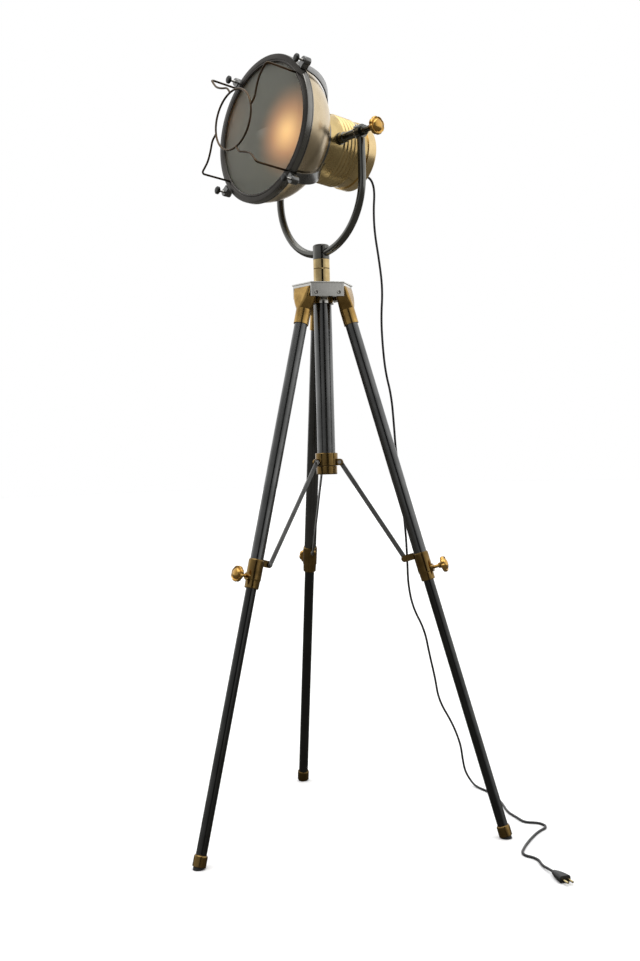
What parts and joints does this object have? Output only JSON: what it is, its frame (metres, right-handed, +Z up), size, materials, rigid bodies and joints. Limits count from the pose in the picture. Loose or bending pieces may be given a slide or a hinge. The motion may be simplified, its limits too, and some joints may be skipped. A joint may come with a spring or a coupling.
{
  "type": "tripod spotlight floor lamp",
  "caption": "Floor lamp with a round spotlight head behind a wire guard, hung in a U yoke that tilts and turns on a folding tripod with telescoping legs and a cord.",
  "frame": {"origin": "on the floor at the centre of the standing lamp's outline, cord left out", "axes": "+Z up, the front leg points along -Y, the other two lie at 30 and 150 degrees, the lamp head looks along -Y"},
  "size_m": [0.8897, 0.7962, 1.6047],
  "materials": {
    "black_nickel": "black nickel plate, satin",
    "antique_brass": "antique brass, brushed",
    "golden_brass": "polished brass",
    "champagne_metal": "pale champagne plate, satin",
    "steel_screws": "plain steel",
    "dark_screws": "blackened steel",
    "brace_steel": "brushed grey steel",
    "bronze_wire": "dark bronze plate",
    "frosted_glass": "frosted glass",
    "bulb_glass": "frosted bulb",
    "holder_plastic": "black phenolic plastic",
    "foot_rubber": "black rubber",
    "cord_rubber": "black cord",
    "plug_plastic": "black moulded plug",
    "plug_metal": "plug pins"
  },
  "bodies": {
    "root": {"hub_plate": "black_nickel", "hub_casting": "black_nickel", "hub_screws": "steel_screws", "leg_pivot_pins": "steel_screws", "centre_column": "black_nickel", "column_stop": "antique_brass", "post_socket": "antique_brass", "cord_main": "cord_rubber", "plug_body": "plug_plastic", "plug_pins": "plug_metal"},
    "yoke": {"swivel_sleeve": "antique_brass", "swivel_post": "black_nickel", "yoke_tube": "black_nickel", "toothed_washers": "steel_screws", "pivot_bolt": "black_nickel", "tilt_spindle": "black_nickel", "cord_yoke": "cord_rubber"},
    "head": {"bezel_ring": "black_nickel", "front_glass": "frosted_glass", "dome_shell": "champagne_metal", "rear_can": "antique_brass", "end_cap": "antique_brass", "cord_gland": "golden_brass", "trunnions": "black_nickel", "lamp_holder": "holder_plastic", "bulb": "bulb_glass", "wire_guard": "bronze_wire", "strap_frame": "black_nickel", "cord_head": "cord_rubber"},
    "tilt_knob": {"tilt_knob": "golden_brass"},
    "thumbscrew_upper_right": {"thumbscrew_upper_right": "dark_screws"},
    "thumbscrew_upper_left": {"thumbscrew_upper_left": "dark_screws"},
    "thumbscrew_lower_left": {"thumbscrew_lower_left": "dark_screws"},
    "thumbscrew_lower_right": {"thumbscrew_lower_right": "dark_screws"},
    "leg_front": {"leg_bracket_front": "antique_brass", "upper_leg_front": "black_nickel", "leg_clamp_front": "antique_brass"},
    "lower_leg_front": {"lower_leg_front": "black_nickel", "foot_cap_front": "antique_brass", "foot_pad_front": "foot_rubber"},
    "leg_knob_front": {"leg_knob_front": "golden_brass"},
    "leg_right": {"leg_bracket_right": "antique_brass", "upper_leg_right": "black_nickel", "leg_clamp_right": "antique_brass"},
    "lower_leg_right": {"lower_leg_right": "black_nickel", "foot_cap_right": "antique_brass", "foot_pad_right": "foot_rubber"},
    "leg_knob_right": {"leg_knob_right": "golden_brass"},
    "leg_left": {"leg_bracket_left": "antique_brass", "upper_leg_left": "black_nickel", "leg_clamp_left": "antique_brass"},
    "lower_leg_left": {"lower_leg_left": "black_nickel", "foot_cap_left": "antique_brass", "foot_pad_left": "foot_rubber"},
    "leg_knob_left": {"leg_knob_left": "golden_brass"},
    "collar": {"brace_collar": "antique_brass", "collar_rivets": "steel_screws"},
    "brace_front": {"brace_front": "brace_steel"},
    "brace_right": {"brace_right": "brace_steel"},
    "brace_left": {"brace_left": "brace_steel"}
  },
  "joints": [
    {"name": "pan", "type": "hinge", "parent": "root", "child": "yoke", "pos_m": [0, 0.08998, 1.2], "axis": [0, 0, 1], "range_deg": [-170, 170]},
    {"name": "tilt", "type": "hinge", "parent": "yoke", "child": "head", "pos_m": [0, 0.08998, 1.442], "axis": [0.9989, -0.0473, 0], "range_deg": [-90, 35]},
    {"name": "tilt_knob_turn", "type": "hinge", "parent": "yoke", "child": "tilt_knob", "pos_m": [0.16432, 0.0822, 1.442], "axis": [0.9989, -0.0473, 0], "continuous": true},
    {"name": "thumbscrew_upper_right_turn", "type": "hinge", "parent": "head", "child": "thumbscrew_upper_right", "pos_m": [0.11974, -0.05679, 1.55955], "axis": [-0.0471, -0.9948, 0.0905], "continuous": true},
    {"name": "thumbscrew_upper_left_turn", "type": "hinge", "parent": "head", "child": "thumbscrew_upper_left", "pos_m": [-0.11077, -0.04387, 1.58169], "axis": [-0.0471, -0.9948, 0.0905], "continuous": true},
    {"name": "thumbscrew_lower_left_turn", "type": "hinge", "parent": "head", "child": "thumbscrew_lower_left", "pos_m": [-0.13396, -0.06368, 1.35177], "axis": [-0.0471, -0.9948, 0.0905], "continuous": true},
    {"name": "thumbscrew_lower_right_turn", "type": "hinge", "parent": "head", "child": "thumbscrew_lower_right", "pos_m": [0.09655, -0.0766, 1.32963], "axis": [-0.0471, -0.9948, 0.0905], "continuous": true},
    {"name": "leg_fold_front", "type": "hinge", "parent": "root", "child": "leg_front", "pos_m": [0, 0.04748, 1.134], "axis": [1, 0, 0], "range_deg": [0, 12]},
    {"name": "leg_fold_right", "type": "hinge", "parent": "root", "child": "leg_right", "pos_m": [0.03681, 0.11123, 1.134], "axis": [-0.5, 0.866, 0], "range_deg": [0, 12]},
    {"name": "leg_fold_left", "type": "hinge", "parent": "root", "child": "leg_left", "pos_m": [-0.03681, 0.11123, 1.134], "axis": [-0.5, -0.866, 0], "range_deg": [0, 12]},
    {"name": "telescope_front", "type": "slide", "parent": "leg_front", "child": "lower_leg_front", "axis": [0, 0.2711, 0.9625], "range_m": [0, 0.38]},
    {"name": "leg_knob_front_turn", "type": "hinge", "parent": "leg_front", "child": "leg_knob_front", "pos_m": [0, -0.13714, 0.55227], "axis": [0, -0.9625, 0.2711], "continuous": true},
    {"name": "telescope_right", "type": "slide", "parent": "leg_right", "child": "lower_leg_right", "axis": [-0.2348, -0.1356, 0.9625], "range_m": [0, 0.38]},
    {"name": "leg_knob_right_turn", "type": "hinge", "parent": "leg_right", "child": "leg_knob_right", "pos_m": [0.1967, 0.20354, 0.55227], "axis": [0.8336, 0.4813, 0.2711], "continuous": true},
    {"name": "telescope_left", "type": "slide", "parent": "leg_left", "child": "lower_leg_left", "axis": [0.2348, -0.1356, 0.9625], "range_m": [0, 0.38]},
    {"name": "leg_knob_left_turn", "type": "hinge", "parent": "leg_left", "child": "leg_knob_left", "pos_m": [-0.1967, 0.20354, 0.55227], "axis": [-0.8336, 0.4813, 0.2711], "continuous": true},
    {"name": "collar_slide", "type": "slide", "parent": "root", "child": "collar", "axis": [0, 0, 1], "range_m": [0, 0.031]},
    {"name": "brace_swing_front", "type": "hinge", "parent": "collar", "child": "brace_front", "pos_m": [0, 0.05998, 0.77412], "axis": [1, 0, 0], "range_deg": [0, 30.5]},
    {"name": "brace_swing_right", "type": "hinge", "parent": "collar", "child": "brace_right", "pos_m": [0.02598, 0.10498, 0.77412], "axis": [-0.5, 0.866, 0], "range_deg": [0, 30.5]},
    {"name": "brace_swing_left", "type": "hinge", "parent": "collar", "child": "brace_left", "pos_m": [-0.02598, 0.10498, 0.77412], "axis": [-0.5, -0.866, 0], "range_deg": [0, 30.5]}
  ],
  "couplings": [
    {"joint": "leg_fold_right", "follows": "leg_fold_front", "ratio": 1},
    {"joint": "leg_fold_left", "follows": "leg_fold_front", "ratio": 1},
    {"joint": "collar_slide", "follows": "leg_fold_front", "m_per_rad": 0.146},
    {"joint": "brace_swing_front", "follows": "leg_fold_front", "ratio": 2.5},
    {"joint": "brace_swing_right", "follows": "leg_fold_front", "ratio": 2.5},
    {"joint": "brace_swing_left", "follows": "leg_fold_front", "ratio": 2.5}
  ]
}
